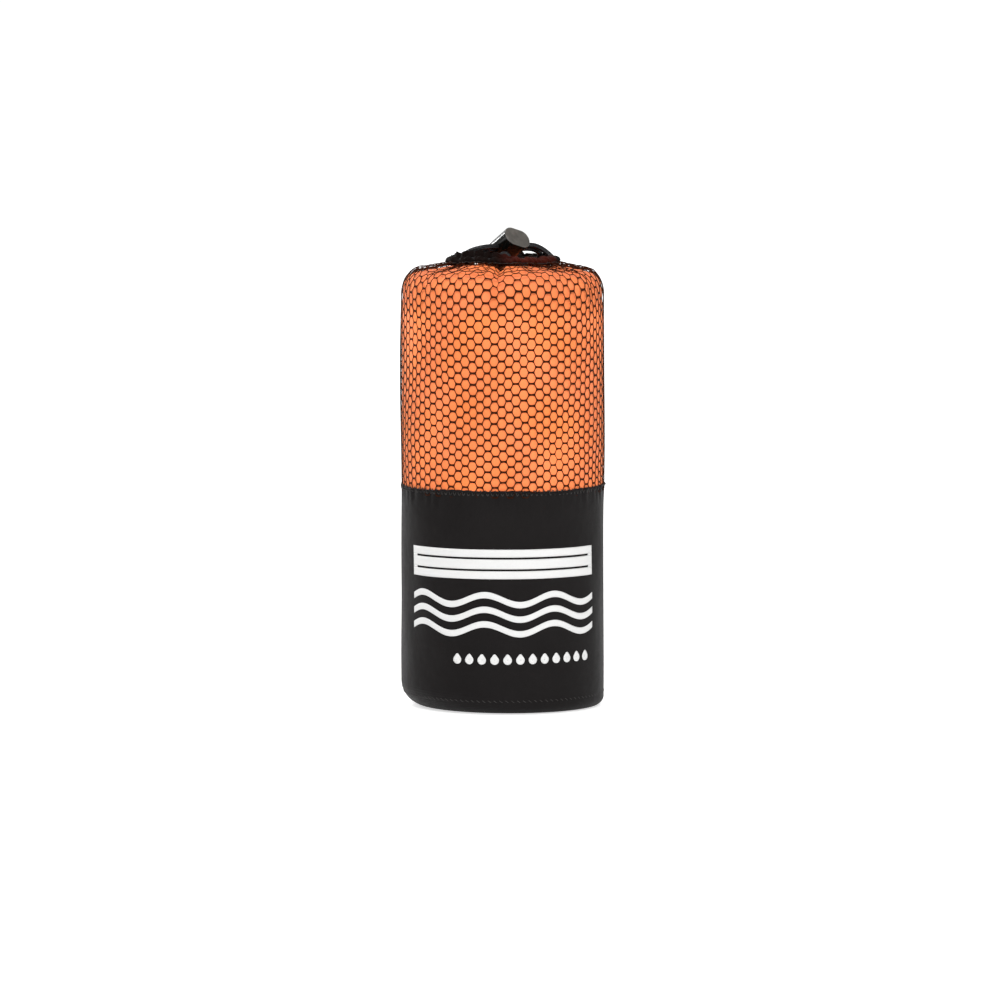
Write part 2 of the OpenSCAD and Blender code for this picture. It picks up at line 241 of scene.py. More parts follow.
def tube(line, radius, sides, closed=False):
    """Points and faces of a tube round a line, with the frame carried along it without twist.

    Ring i is line[i] + radius * (cos(a) * side[i] + sin(a) * up[i]); open ends close in a dome.
    """
    n = len(line)
    if closed:
        along = np.roll(line, -1, axis=0) - np.roll(line, 1, axis=0)
    else:
        along = np.gradient(line, axis=0)
    along /= np.linalg.norm(along, axis=1, keepdims=True)
    side = np.zeros_like(line)
    first = np.cross(along[0], [0.0, 0.0, 1.0])
    side[0] = first / np.linalg.norm(first)
    for i in range(1, n):
        s = side[i - 1] - along[i] * np.dot(side[i - 1], along[i])
        side[i] = s / np.linalg.norm(s)
    up = np.cross(along, side)
    a = np.linspace(0, 2 * np.pi, sides, endpoint=False)
    spokes = np.cos(a)[None, :, None] * side[:, None] + np.sin(a)[None, :, None] * up[:, None]
    radius = np.broadcast_to(np.asarray(radius, float), (n,))
    if closed:
        points = line[:, None] + radius[:, None, None] * spokes
        return points.reshape(-1, 3), grid_faces(n, sides, wrap_rows=True, wrap_columns=True)
    bend = np.linspace(0, np.pi / 2, 5)[:-1]
    start = [line[0] - along[0] * radius[0] * np.cos(b) + spokes[0] * radius[0] * np.sin(b) for b in bend]
    end = [line[-1] + along[-1] * radius[-1] * np.cos(b) + spokes[-1] * radius[-1] * np.sin(b)
           for b in bend[::-1]]
    points = np.concatenate([np.array(start), line[:, None] + radius[:, None, None] * spokes,
                             np.array(end)])
    return points.reshape(-1, 3), grid_faces(len(points), sides, wrap_columns=True)


def tube_uv(points_count, sides, length):
    """Length along the tube and turn around it, for every point of a tube."""
    rings = points_count // sides
    along = np.repeat(np.linspace(0, length, rings), sides)
    around = np.tile(np.arange(sides) / sides, rings)
    return np.stack([along, around], axis=1)


def ring_uv(turn, sides):
    """Length round the pouch and side number, for every point of a closed tube laid round it."""
    return np.stack([np.repeat(turn * BODY_R, sides), np.tile(np.arange(float(sides)), len(turn))], axis=1)


# --- cords first ---


CORD_SIDES = 14


def add_strand(name, route, cad_node):
    """One free strand of the drawcord, from the channel through the lock to the end knot."""
    line = smooth_path(route, 0.8)
    points, faces = tube(line, CORD_D / 2, CORD_SIDES)
    length = np.linalg.norm(np.diff(line, axis=0), axis=1).sum()
    piece = make_piece(name, points, faces, [cad_node], uv=tube_uv(len(points), CORD_SIDES, length))
    return piece


def add_knot():
    """The end knot: a cord of the strands' size led round a (2, 3) torus knot and pulled into a ball.

    The cord's distance from the middle is core + lobe cos 3t and its level lift sin 3t, while it goes
    twice round; the whole is then tipped over.
    """
    low, high = node_box("cord_knot")
    centre, size = (low + high) / 2, (high - low)[0] / 2
    t = np.linspace(0, 2 * np.pi, 150, endpoint=False)
    lobe, lift, squeeze, tilt, swollen = 1.5, 1.75, 0.9, np.radians(35), 1.08
    core = size - CORD_D / 2 - 1.55
    radius = core + lobe * np.cos(3 * t)
    line = np.stack([radius * np.cos(2 * t), radius * np.sin(2 * t) * squeeze, lift * np.sin(3 * t)], axis=1)
    turn = np.array([[1, 0, 0], [0, np.cos(tilt), -np.sin(tilt)], [0, np.sin(tilt), np.cos(tilt)]])
    points, faces = tube(line @ turn.T + centre, CORD_D / 2 * swollen, CORD_SIDES, closed=True)
    return make_piece("end_knot", points, faces, ["cord_knot"],
                      uv=tube_uv(len(points), CORD_SIDES, 60))


knot = add_knot()
strand_a = add_strand("strand_front", STRAND_A, "cord_strand_a")
strand_b = add_strand("strand_back", STRAND_B, "cord_strand_b")
cords = [knot, strand_a, strand_b]

# --- pouch surfaces ---

SHOULDER_Z = 182.0
SHOULDER_W = 8.0
HEM_R = CHANNEL_R + CHANNEL_TUBE - 1.2
CROWN_RUN = 13.5  # length of cloth between the shoulder and the hem
CROWN_TOP = 193.8  # height where the shoulder's curve ends
CROWN_CURVE = 1.15  # above 1, the crown starts flat and steepens towards the hem
HEM_DROP = 0.8  # the net joins the hem this far below the hem's middle


def front_share(turn):
    """1 at the front of the mouth, falling to 0 at its two sides."""
    return np.clip(-np.sin(turn), 0, 1)


def hem_lift(turn):
    """Height of the gathered hem's middle: it dips at the two sides and rises at the front and back."""
    rise = 196.7 + 1.2 * front_share(turn) + 0.5 * front_share(-turn)
    return rise + 0.25 * np.cos(3 * turn + 0.6) + 0.2 * np.cos(7 * turn + 2.1)


def pleats(turn):
    """Gathering of the mouth: uneven folds round the hem, -1 to 1."""
    a = np.cos(19 * turn + 0.8 * np.sin(2 * turn) + 0.4)
    b = np.cos(31 * turn + 1.1 * np.sin(3 * turn) + 2.0)
    c = np.cos(47 * turn + 0.7)
    return 0.5 * a + 0.33 * b + 0.17 * c


CREASES = [  # turn in degrees, lowest height, width in millimetres, depth in millimetres
    (-93, 177, 2.0, 2.4), (-142, 180, 3.4, 1.3), (-131, 186, 2.2, 0.9), (-27, 175, 3.2, 1.4),
    (-50, 188, 2.0, 0.8), (-118, 189, 2.0, 0.8), (-72, 190, 1.8, 0.6), (35, 182, 3.0, 1.2),
    (80, 178, 2.6, 1.3), (118, 184, 2.8, 1.1), (160, 177, 3.2, 1.4), (-170, 186, 2.2, 0.9),
    (8, 184, 2.4, 0.9), (-8, 188, 1.8, 0.7),
]


def crease_depth(turn, height):
    """How far the mesh is drawn in along the creases that run down from the mouth."""
    depth = np.zeros(np.broadcast(turn, height).shape)
    for angle, low, width, amount in CREASES:
        away = np.angle(np.exp(1j * (turn - np.radians(angle)))) * BODY_R
        spread = width * (0.6 + 0.8 * smoothstep(low, 196, height))
        depth += amount * np.exp(-(away / spread) ** 2) * smoothstep(low, low + 12, height)
    return depth


def crease_gather(turn, height):
    """How far, as a turn, the net's columns are drawn in towards each crease."""
    shift = np.zeros(np.broadcast(turn, height).shape)
    for angle, low, width, amount in CREASES:
        away = np.angle(np.exp(1j * (turn - np.radians(angle)))) * BODY_R
        spread = 2.2 * width
        shift -= 0.2 * amount * away * np.exp(-(away / spread) ** 2) * smoothstep(low, low + 12, height)
    return shift / BODY_R


SIDE_RUN = SHOULDER_Z - WAIST_Z
SHOULDER_RUN = 0.5 * np.pi * np.sqrt((SHOULDER_W ** 2 + (CROWN_TOP - SHOULDER_Z) ** 2) / 2)


def mesh_profile(s, turn):
    """Radius and height at s millimetres above the waist, measured along the cloth.

    A straight side, a quarter ellipse over the towel's top edge, then a gentle rise to the hem.
    """
    top = CROWN_TOP + 0 * turn
    angle = np.clip((s - SIDE_RUN) / SHOULDER_RUN, 0, 1) * np.pi / 2
    run = np.clip((s - SIDE_RUN - SHOULDER_RUN) / CROWN_RUN, 0, 1.2)
    shoulder_r = BODY_R - SHOULDER_W * (1 - np.cos(angle))
    radius = shoulder_r - run * (BODY_R - SHOULDER_W - HEM_R)
    height = np.where(s < SIDE_RUN, WAIST_Z + s, SHOULDER_Z + (top - SHOULDER_Z) * np.sin(angle))
    height = height + run ** CROWN_CURVE * (hem_lift(turn) - HEM_DROP - top)
    return radius, height


def mesh_surface(turn, s):
    """Middle surface of the mesh cloth, in millimetres, at a turn and a length above the waist."""
    radius, height = mesh_profile(s, turn)
    bulge = 0.35 * np.sin(np.pi * np.clip((height - WAIST_Z) / 80, 0, 1))
    wave = 0.13 * np.cos(5 * turn + 0.05 * s) + 0.09 * np.cos(9 * turn - 0.08 * s + 1)
    pull = crease_depth(turn, height)
    crown = smoothstep(SHOULDER_Z - 4, 193, height)
    gather = pleats(turn) * 1.3 * smoothstep(189, 198, height)
    radius = radius - 0.25 + bulge + wave * (1 - crown) - pull * (1 - crown)
    height = height - pull * crown * 0.8 + gather
    return np.stack([radius * np.cos(turn), radius * np.sin(turn), height], axis=-1)


def corner_r(turn):
    """Radius of the bottom corner: soft at the left and the front, tight at the right."""
    return 7.4 - 3.4 * np.cos(turn) - 0.6 * np.sin(turn)


def nylon_surface(turn, height):
    """Outer surface of the nylon half at a turn and a height.

    The body's radius, less a quarter circle at the bottom corner, plus slow waves where the cloth is
    slack and short ones where the waist seam puckers it.
    """
    corner = corner_r(turn)
    below = np.clip((corner - height) / corner, 0, 1)
    inset = corner * (1 - np.sqrt(np.clip(1 - below ** 2, 0, 1)))
    near_waist = smoothstep(WAIST_Z - 9, WAIST_Z, height)
    pucker = 0.16 * np.cos(52 * turn) + 0.14 * np.cos(33 * turn + 1.3) + 0.1 * np.cos(71 * turn + 0.4)
    slack = 0.20 * np.cos(4 * turn + 0.035 * height + 0.5) + 0.13 * np.cos(7 * turn - 0.06 * height)
    slack += 0.10 * np.cos(11 * turn + 0.09 * height + 2.2)
    radius = BODY_R - inset + slack * smoothstep(4, 25, height) + (pucker - 0.15) * near_waist
    return np.stack([radius * np.cos(turn), radius * np.sin(turn), height + 0 * turn], axis=-1)


# --- towel ---

SIDE_SEAM_TURN = np.radians(28)
TOWEL_LENGTH, TOWEL_WIDTH = 1520.0, 760.0
PLY_PITCH, PLY_T = 1.0, 0.66
STRIP = TOWEL_WIDTH / 4


def towel_surface():
    """The whole towel, folded in four along its length and rolled.

    Across the width the cloth runs up, down, up and down, one ply pitch further out after each fold.
    Along the length it follows r = start + turn pitch * turns, so that the arc length is the towel's.
    Near the top the roll is pressed in to follow the pouch's shoulder.
    """
    turn_pitch = 4 * PLY_PITCH
    start_r = 3.2
    turns = (-start_r + np.sqrt(start_r ** 2 + turn_pitch * TOWEL_LENGTH / np.pi)) / turn_pitch
    along = np.linspace(0, 1, 560)
    angle = np.sqrt(start_r ** 2 + along * turn_pitch * TOWEL_LENGTH / np.pi) - start_r
    angle = angle / angle[-1] * turns
    ply_r = start_r + turn_pitch * angle
    end_turn = np.pi / 2 + 0.06
    theta = end_turn + (angle - turns) * 2 * np.pi
    # across the width: rows run close together at the folds
    fold = PLY_PITCH / 2
    plain = np.linspace(0.02, 0.98, 13)
    bend = np.linspace(-1, 1, 5)
    rows_z, rows_r = [], []
    for ply in range(4):
        up = plain if ply % 2 == 0 else plain[::-1]
        rows_z += list(up)
        rows_r += [ply * PLY_PITCH] * len(up)
        if ply < 3:
            top = 1.0 if ply % 2 == 0 else 0.0
            sign = 1 if ply % 2 == 0 else -1
            rows_z += list(top + sign * (np.cos(bend * np.pi / 2) * fold - 0.9) / STRIP)
            rows_r += list(ply * PLY_PITCH + fold + np.sin(bend * np.pi / 2) * fold)
    rows_z, rows_r = np.array(rows_z)[None, :], np.array(rows_r)[None, :]
    low = TOWEL_LOW[2] + 1.2
    height = low + (TOWEL_TOP - low) * rows_z
    radius = ply_r[:, None] + rows_r - 2 * PLY_PITCH
    turn = theta[:, None] + 0 * height
    # the pouch presses the spiral round; past the free end the layer below climbs to the surface
    lag = np.mod(end_turn - turn, 2 * np.pi) / (2 * np.pi)
    climb = 0.11
    share = np.where(lag < 1 - climb, lag, (1 - climb) * smoothstep(0, 1, (1 - lag) / climb))
    outside = ply_r[-1] + PLY_PITCH - turn_pitch * share
    radius = radius * (BODY_R - 0.48) / outside
    # soft swells and dents, the same through all plies so that none cuts the next
    swell = 0.11 * np.cos(5 * turn + height * 0.05) + 0.09 * np.cos(8 * turn - height * 0.11 + 1.0)
    swell += 0.07 * np.cos(13 * turn + height * 0.17 + 2.0) + 0.05 * np.cos(3 * turn + height * 0.31) - 0.16
    press = np.clip((height - SHOULDER_Z) / (TOWEL_TOP - SHOULDER_Z + 0.3), 0, 1)
    foot = np.clip((12 - height) / 12, 0, 1)
    scale = 1 - 0.15 * (1 - np.sqrt(1 - 0.985 * press ** 2)) - 0.2 * (1 - np.sqrt(1 - foot ** 2))
    pull = crease_depth(turn, height)
    tape = 0.7 * np.exp(-(np.angle(np.exp(1j * (turn - SIDE_SEAM_TURN))) * BODY_R / 3.2) ** 2)
    held = 0.8 * (1 - smoothstep(90, 98.5, height)) + 0.3 * np.exp(-((height - WAIST_Z) / 4) ** 2) + tape
    lump = 0.5 * np.cos(2 * turn + radius * 0.13) + 0.4 * np.cos(5 * turn - radius * 0.2)
    near_top = smoothstep(0.9, 1.0, rows_z)
    radius = radius * scale + (swell - pull - held) * np.clip(radius / TOWEL_R, 0, 1) ** 2
    # the folds' tops stand up against the crown of the net, and drop away inside the mouth
    inset = np.clip((BODY_R - SHOULDER_W - radius) / (BODY_R - SHOULDER_W - HEM_R), 0, 1)
    crown_z = CROWN_TOP + inset ** CROWN_CURVE * (hem_lift(turn) - HEM_DROP - CROWN_TOP) - 1.1
    climb_z = (crown_z - TOWEL_TOP) * smoothstep(18.5, 24.5, radius) * (1 - smoothstep(34, 41, radius))
    loose = 1 - smoothstep(20, 25, radius)
    height = height + ((lump - 0.6) * (0.3 + 0.7 * loose) - pull + climb_z) * near_top \
        * np.clip(radius / 20, 0, 1)
    points = np.stack([radius * np.cos(turn), radius * np.sin(turn), height], axis=-1)
    width_mm = np.cumsum(np.r_[0, np.hypot(np.diff(rows_z[0]) * STRIP, np.diff(rows_r[0]))])
    uv = np.stack(np.broadcast_arrays(along[:, None] * TOWEL_LENGTH, width_mm[None, :]), axis=-1)
    return points, uv


def grid_normals(points):
    """Unit normals of a grid of points by differences along its rows and columns."""
    normal = np.cross(np.gradient(points, axis=0), np.gradient(points, axis=1))
    return normal / np.maximum(np.linalg.norm(normal, axis=-1, keepdims=True), 1e-9)


def add_towel():
    """The towel as one sheet with its own thickness."""
    points, uv = towel_surface()
    normal = grid_normals(points)
    outer, inner = points + normal * PLY_T / 2, points - normal * PLY_T / 2
    rows, columns = points.shape[:2]
    piece = make_piece("towel", np.stack([outer, inner]), skin_faces(rows, columns),
                       ["towel_roll"], uv=np.concatenate([uv.reshape(-1, 2)] * 2))
    return piece, points


towel, towel_points = add_towel()


def add_towel_hem():
    """Overlocked edge over the towel's free end: a narrow fold of cloth with thread loops wound on it."""
    end_rows, ply_columns = 9, 13
    strip = towel_points[-end_rows:, -ply_columns:]
    normal = grid_normals(strip)
    top, under = strip + normal * (PLY_T / 2 + 0.35), strip + normal * (PLY_T / 2 - 0.1)
    uv = np.stack([np.repeat(np.arange(end_rows) * 2.5, ply_columns),
                   np.tile(np.arange(ply_columns) * 15.0, end_rows)], axis=1)
    return make_piece("towel_edge", np.stack([top, under]), skin_faces(end_rows, ply_columns),
                      ["towel_hem"], uv=np.concatenate([uv, uv]))


towel_edge = add_towel_hem()

# --- mesh half ---

COLUMNS = 84
NET_T = 0.34


def net_outline(sides=18):
    """One cell: its outline on the lattice and its rounded hole, in lattice units (side length 1)."""
    k = np.arange(sides)
    corner = np.stack([np.cos(np.pi / 3 * np.arange(7)), np.sin(np.pi / 3 * np.arange(7))], axis=1)
    per = sides // 6
    i, t = k // per, (k % per)[:, None] / per
    outline = corner[i] * (1 - t) + corner[i + 1] * t
    hole_corner = np.array([[2.00, 0], [1.10, 2.06], [-1.10, 2.06], [-2.00, 0], [-1.10, -2.06],
                            [1.10, -2.06], [2.00, 0]]) / np.array([3.4 / 1.5, 4.85 / np.sqrt(3)])
    straight = hole_corner[i] * (1 - t) + hole_corner[i + 1] * t
    around = np.arctan2(straight[:, 1], straight[:, 0])
    oval = np.stack([0.82 * np.cos(around), 0.725 * np.sin(around)], axis=1)
    return outline, 0.52 * straight + 0.48 * oval


def net_map(x, y):
    """Turn and length above the waist of a lattice point; the rows grow taller upwards."""
    turn = x / (1.5 * COLUMNS) * 2 * np.pi
    row = y / np.sqrt(3)
    s = 4.6 * row + 0.015 * row ** 2
    drift = 0.013 * np.sin(3 * turn + 0.05 * s) + 0.008 * np.sin(7 * turn - 0.09 * s)
    drift = drift + 0.004 * np.sin(13 * turn + 0.23 * s + 1)
    drift = drift + crease_gather(turn, WAIST_Z + s)
    sag = 0.7 * np.sin(2 * turn + 0.6) * s / 100 + 0.4 * np.sin(5 * turn + 0.04 * s)
    return turn + drift * np.clip(s / 20, 0, 1), s + sag * np.clip(s / 20, 0, 1)


def add_net(name, first_row, last_row, stretch, replaces=()):
    """Knitted hexagonal net between two rows: every cell is a rounded hole in lens-shaped strands.

    stretch above 1 opens the holes and thins the strands, as where the cloth is pulled tight.
    """
    outline, hole = net_outline()
    hole = hole * stretch
    sides = len(outline)
    middle = outline * 0.45 + hole * 0.55
    i, j = np.meshgrid(np.arange(COLUMNS), np.arange(first_row, last_row), indexing="ij")
    centre = np.stack([1.5 * i, np.sqrt(3) * (j + 0.5 * (i % 2))], axis=-1).reshape(-1, 1, 1, 2)
    rings = np.stack([outline, middle, hole, middle, outline])[None]
    level = np.array([0.5, 0.40, 0, -0.40, -0.5])[None, :, None] * NET_T
    flat = centre + rings
    level = np.broadcast_to(level, flat.shape[:3])
    flat = flat.reshape(-1, 2)
    level = level.reshape(-1)
    key = np.round(np.stack([np.mod(flat[:, 0] + 1e-4, 1.5 * COLUMNS), flat[:, 1], level * 10], axis=1), 3)
    _, first, inverse = np.unique(key, axis=0, return_index=True, return_inverse=True)
    local = grid_faces(5, sides, wrap_columns=True)
    faces = (local[None] + np.arange(len(centre))[:, None, None] * 5 * sides).reshape(-1, 4)
    faces = inverse.reshape(-1)[faces]
    flat, level = flat[first], level[first]
    turn, s = net_map(flat[:, 0], flat[:, 1])
    points = mesh_surface(turn, s)
    normal = normals_of(mesh_surface, turn, s)
    points = points + normal * level[:, None]
    return make_piece(name, points, faces, replaces, uv=np.stack([turn * BODY_R, s], axis=1))


ROW_PITCH = 4.95
NET_ROWS = int((SIDE_RUN + SHOULDER_RUN + CROWN_RUN + 1.5) / ROW_PITCH) + 1
nets = [add_net("net_lower", 0, 10, 1.0), add_net("net_upper", 10, 19, 1.0, ["mesh_sleeve"]),
        add_net("net_crown", 19, NET_ROWS, 1.05)]

# --- gathered hem ---


def hem_ring(turn, around):
    """Gathered channel: a soft flattened tube round the mouth, pinched and lifted by the pleats."""
    fold = pleats(turn)
    size = 2.7 + 0.5 * fold + 0.25 * np.cos(61 * turn + 3 * np.sin(around))
    centre = CHANNEL_R + 0.2 + 0.35 * np.cos(19 * turn + 1.0) + 0.3 * np.cos(2 * turn + 1)
    radius = centre + size * np.cos(around) * 0.95
    flat = 0.62 - 0.06 * front_share(turn + 0.15)
    height = hem_lift(turn) + 0.4 * fold + size * np.sin(around) * flat
    return np.stack([radius * np.cos(turn), radius * np.sin(turn), height], axis=-1)


def add_hem():
    """The channel as one closed tube."""
    rows, columns = 720, 28
    turn = np.linspace(0, 2 * np.pi, rows, endpoint=False)[:, None]
    around = np.linspace(0, 2 * np.pi, columns, endpoint=False)[None, :]
    uv = np.stack(np.broadcast_arrays(turn * CHANNEL_R * 1.8, around * 3.2), axis=-1).reshape(-1, 2)
    return make_piece("gathered_hem", hem_ring(turn, around),
                      grid_faces(rows, columns, wrap_rows=True, wrap_columns=True),
                      ["drawcord_channel"], uv=uv)


def frill_surface(turn, rise):
    """Frill above the channel: stands up from the hem in uneven folds, tallest at the front left."""
    tall = 0.5 + 3.4 * smoothstep(0.5, 0.98, np.cos(turn - np.radians(-126))) - 0.4 * front_share(turn)
    tall = tall + 1.5 * smoothstep(0.7, 0.98, np.cos(turn - np.radians(52)))
    tall = np.clip(tall + 0.3 * np.cos(9 * turn + 1) + 0.3 * np.cos(37 * turn), 0.15, 6)
    fold = pleats(turn)
    lean = np.cos(23 * turn + 1.4 * np.sin(4 * turn))
    radius = CHANNEL_R + 0.2 + (1.2 * fold + 0.8 * lean) * (0.35 + 0.65 * rise) - 0.4 * rise
    height = hem_lift(turn) + 0.4 * fold + 1.1 - 0.1 * front_share(turn + 0.35)
    height = height + tall * rise * (1 - 0.18 * rise)
    return np.stack([radius * np.cos(turn), radius * np.sin(turn), height], axis=-1)


def add_frill():
    """The frill as a skin of small thickness."""
    rows, columns, half = 9, 900, 0.22
    turn = np.linspace(0, 2 * np.pi, columns, endpoint=False)[None, :]
    rise = np.linspace(0, 1, rows)[:, None]
    middle = frill_surface(turn, rise)
    normal = ring_normals(middle)
    uv = np.stack(np.broadcast_arrays(turn * CHANNEL_R * 1.8, rise * 4), axis=-1).reshape(-1, 2)
    return make_piece("hem_frill", np.stack([middle + normal * half, middle - normal * half]),
                      skin_faces(rows, columns, wrap_columns=True), uv=np.concatenate([uv, uv]))


def add_hem_stitching():
    """Row of stitches under the channel: a thread that dips in and out along the hem's lower edge."""
    turn = np.linspace(0, 2 * np.pi, 1500, endpoint=False)
    line = hem_ring(turn, np.full_like(turn, -0.55))
    outward = line / np.linalg.norm(line, axis=1, keepdims=True) * np.array([1, 1, 0])
    line = line + outward * (0.05 + 0.22 * np.cos(turn * 90))[:, None]
    points, faces = tube(line, 0.2, 6, closed=True)
    return make_piece("hem_stitches", points, faces, ["channel_stitching"])


def add_bartack():
    """Bartack beside the exits: a thread wound in a close zigzag over the channel."""
    zigzags, first, wide = 12, 26, 4.5
    t = np.linspace(0, 1, 400)
    turn = np.radians(first + wide * t)
    line = hem_ring(turn, 0.9 + 0.42 * np.cos(t * 2 * np.pi * zigzags))
    centre = np.stack([CHANNEL_R * np.cos(turn), CHANNEL_R * np.sin(turn), np.full_like(turn, 196)], axis=1)
    away = line - centre
    line = line + away / np.linalg.norm(away, axis=1, keepdims=True) * 0.12
    points, faces = tube(line, 0.16, 6)
    return make_piece("hem_bartack", points, faces, ["channel_bartack"])


hem = add_hem()
frill = add_frill()
hem_stitches = add_hem_stitching()
bartack = add_bartack()


def add_side_seam():
    """Seam allowance behind the side seam, from the base to the shoulder."""
    half_width, start_z, depth, tape_t = 2.3, 9, 0.5, 0.35
    turn = SIDE_SEAM_TURN + np.linspace(-half_width, half_width, 9)[None, :] / BODY_R
    height = start_z + np.linspace(0, 1, 160)[:, None] * (SHOULDER_Z - start_z)
    low = nylon_surface(turn, np.minimum(height, WAIST_Z - 3))
    high = mesh_surface(turn, np.maximum(height - WAIST_Z, 0))
    middle = np.where(height[..., None] < WAIST_Z, low, high)
    middle[..., 2] = height + 0 * turn
    outward = outward_of(middle)
    near, far = middle - outward * depth, middle - outward * (depth + tape_t)
    rows, columns = middle.shape[:2]
    uv = np.stack(np.broadcast_arrays(turn * BODY_R, height), axis=-1).reshape(-1, 2)
    return make_piece("side_seam_tape", np.stack([near, far]), skin_faces(rows, columns),
                      ["side_seam"], uv=np.concatenate([uv, uv]))


side_seam = add_side_seam()

# --- nylon half ---


def add_nylon():
    """Nylon sleeve and round base in one skin: across the base, round the corner and up to the waist.

    The base's rows are circles that grow from the middle, lifted by base_lift and a slight sag.
    """
    cloth_t, base_lift, turned_in = 0.45, 0.5, 0.3
    turn = np.linspace(0, 2 * np.pi, 480, endpoint=False)[None, :]
    corner = corner_r(turn)
    share = np.r_[0.0002, np.linspace(0.05, 1, 13)][:, None]
    sag = 0.25 * np.cos(2 * turn) * np.sin(np.pi * share)
    radius = (BODY_R - corner) * share
    base = np.stack([radius * np.cos(turn), radius * np.sin(turn), base_lift + 0.15 * sag], axis=-1)
    bend = np.linspace(0, np.pi / 2, 12)[1:, None]
    round_part = nylon_surface(turn, corner * (1 - np.cos(bend)) + base_lift * (1 - bend / (np.pi / 2)))
    rise = np.linspace(0, 1, 76)[1:, None]
    wall = nylon_surface(turn, corner + (WAIST_Z + turned_in - corner) * rise)
    outer = np.concatenate([base, round_part, wall])
    inner = outer - ring_normals(outer) * cloth_t
    rows, columns = outer.shape[:2]
    along = np.r_[0, np.cumsum(np.linalg.norm(np.diff(outer[:, 0], axis=0), axis=1))]
    uv = np.stack(np.broadcast_arrays(turn * BODY_R, along[:, None]), axis=-1).reshape(-1, 2)
    return make_piece("nylon_shell", np.stack([outer, inner]), skin_faces(rows, columns, wrap_columns=True),
                      ["nylon_sleeve", "base_panel"], uv=np.concatenate([uv, uv]))


def add_ring_seam(name, replaces, height, proud, thread_r, wave_h, waves):
    """A stitched seam round the pouch: a thread that zigzags over the edge of the cloth.

    Its level is height + wave_h cos(waves turn), and it stands proud of the cloth by as many
    millimetres, give or take the thread's own dip.
    """
    dip, sides = 0.12, 6
    turn = np.linspace(0, 2 * np.pi, 2000, endpoint=False)
    level = height + wave_h * np.cos(waves * turn)
    line = nylon_surface(turn, np.minimum(level, WAIST_Z))
    line[:, 2] = level
    line = line + outward_of(line) * (proud + dip * np.sin(waves * turn))[:, None]
    points, faces = tube(line, thread_r, sides, closed=True)
    return make_piece(name, points, faces, replaces, uv=ring_uv(turn, sides))


def add_waist_bead():
    """Turned edge of the nylon at the waist: a soft bead that dips between the stitches."""
    sunk, sides = 0.15, 10
    turn = np.linspace(0, 2 * np.pi, 900, endpoint=False)
    line = nylon_surface(turn, WAIST_Z + 0 * turn)
    line[:, 2] = WAIST_Z + 0.25 * np.cos(9 * turn) + 0.3 * np.cos(4 * turn + 1)
    size = 0.62 + 0.1 * np.cos(72 * turn) + 0.06 * np.cos(43 * turn)
    points, faces = tube(line - outward_of(line) * sunk, size, sides, closed=True)
    return make_piece("waist_bead", points, faces, ["waist_seam"], uv=ring_uv(turn, sides))


nylon = add_nylon()
waist_bead = add_waist_bead()
waist_thread = add_ring_seam("waist_stitches", (), height=WAIST_Z - 0.2, proud=0.05,
                             thread_r=0.17, wave_h=1.1, waves=130)
base_seam = add_ring_seam("base_stitches", ["base_seam"], height=6.2, proud=-0.1,
                          thread_r=0.14, wave_h=0.35, waves=110)

# --- print ---


FILM_OUT, FILM_IN = 0.13, 0.02  # how far the film's two faces stand off the cloth
PRINT_HALF = 60  # degrees from the front to the end of the band and the waves


def add_print(name, cad_node, patches):
    """White film on the nylon: each patch is a grid of (turn, height) pairs, given a thickness."""
    points, faces, count = [], [], 0
    for turn, height in patches:
        rows, columns = turn.shape
        base = nylon_surface(turn, height)
        normal = normals_of(nylon_surface, turn, height)
        grid = np.stack([base + normal * FILM_OUT, base + normal * FILM_IN])
        points.append(grid.reshape(-1, 3))
        faces.append(skin_faces(rows, columns) + count)
        count += grid.size // 3
    return make_piece(name, np.concatenate(points), np.concatenate(faces), [cad_node])


def front(degrees):
    """Turn of a place this many degrees to the right of the front."""
    return np.radians(np.asarray(degrees, float) - 90)


def block(low_turn, high_turn, low_z, high_z):
    """Grid between two turns, in degrees, and two heights; its rows run up so that it faces outwards."""
    columns = max(int((high_turn - low_turn) / 0.75), 2) + 1
    rows = max(int((high_z - low_z) / 0.8), 1) + 1
    turn = front(np.linspace(low_turn, high_turn, columns))
    height = np.linspace(low_z, high_z, rows)
    return np.broadcast_arrays(turn[None, :], height[:, None])


def band_patches():
    """Band with two open lines that stop short of its ends."""
    low, high = BAND_LOW[2], BAND_HIGH[2]
    line, margin, end = 0.9, 4, PRINT_HALF
    lines = [low + (high - low) * share for share in (0.3, 0.7)]
    cuts = [lines[0] - line / 2, lines[0] + line / 2, lines[1] - line / 2, lines[1] + line / 2]
    strips = [block(-end, end, low, cuts[0]), block(-end, end, cuts[1], cuts[2]),
              block(-end, end, cuts[3], high)]
    for a, b in ((cuts[0], cuts[1]), (cuts[2], cuts[3])):
        strips += [block(-end, -end + margin, a, b), block(end - margin, end, a, b)]
    return strips


def wave_patches():
    """Three bold waves, one above the other: height = middle + pitch row + swing cos(2 pi turn / length)."""
    pitch, swing, length, first_top, half = 6.4, 2.2, 40, -50, 1.4
    middle = (WAVES_LOW[2] + WAVES_HIGH[2]) / 2
    turn = np.linspace(-PRINT_HALF, PRINT_HALF, 161)[None, :]
    across = np.linspace(-half, half, 5)[:, None]
    swell = swing * np.cos(2 * np.pi * (turn - first_top) / length)
    return [np.broadcast_arrays(front(turn), middle + pitch * row + swell + across) for row in (-1, 0, 1)]


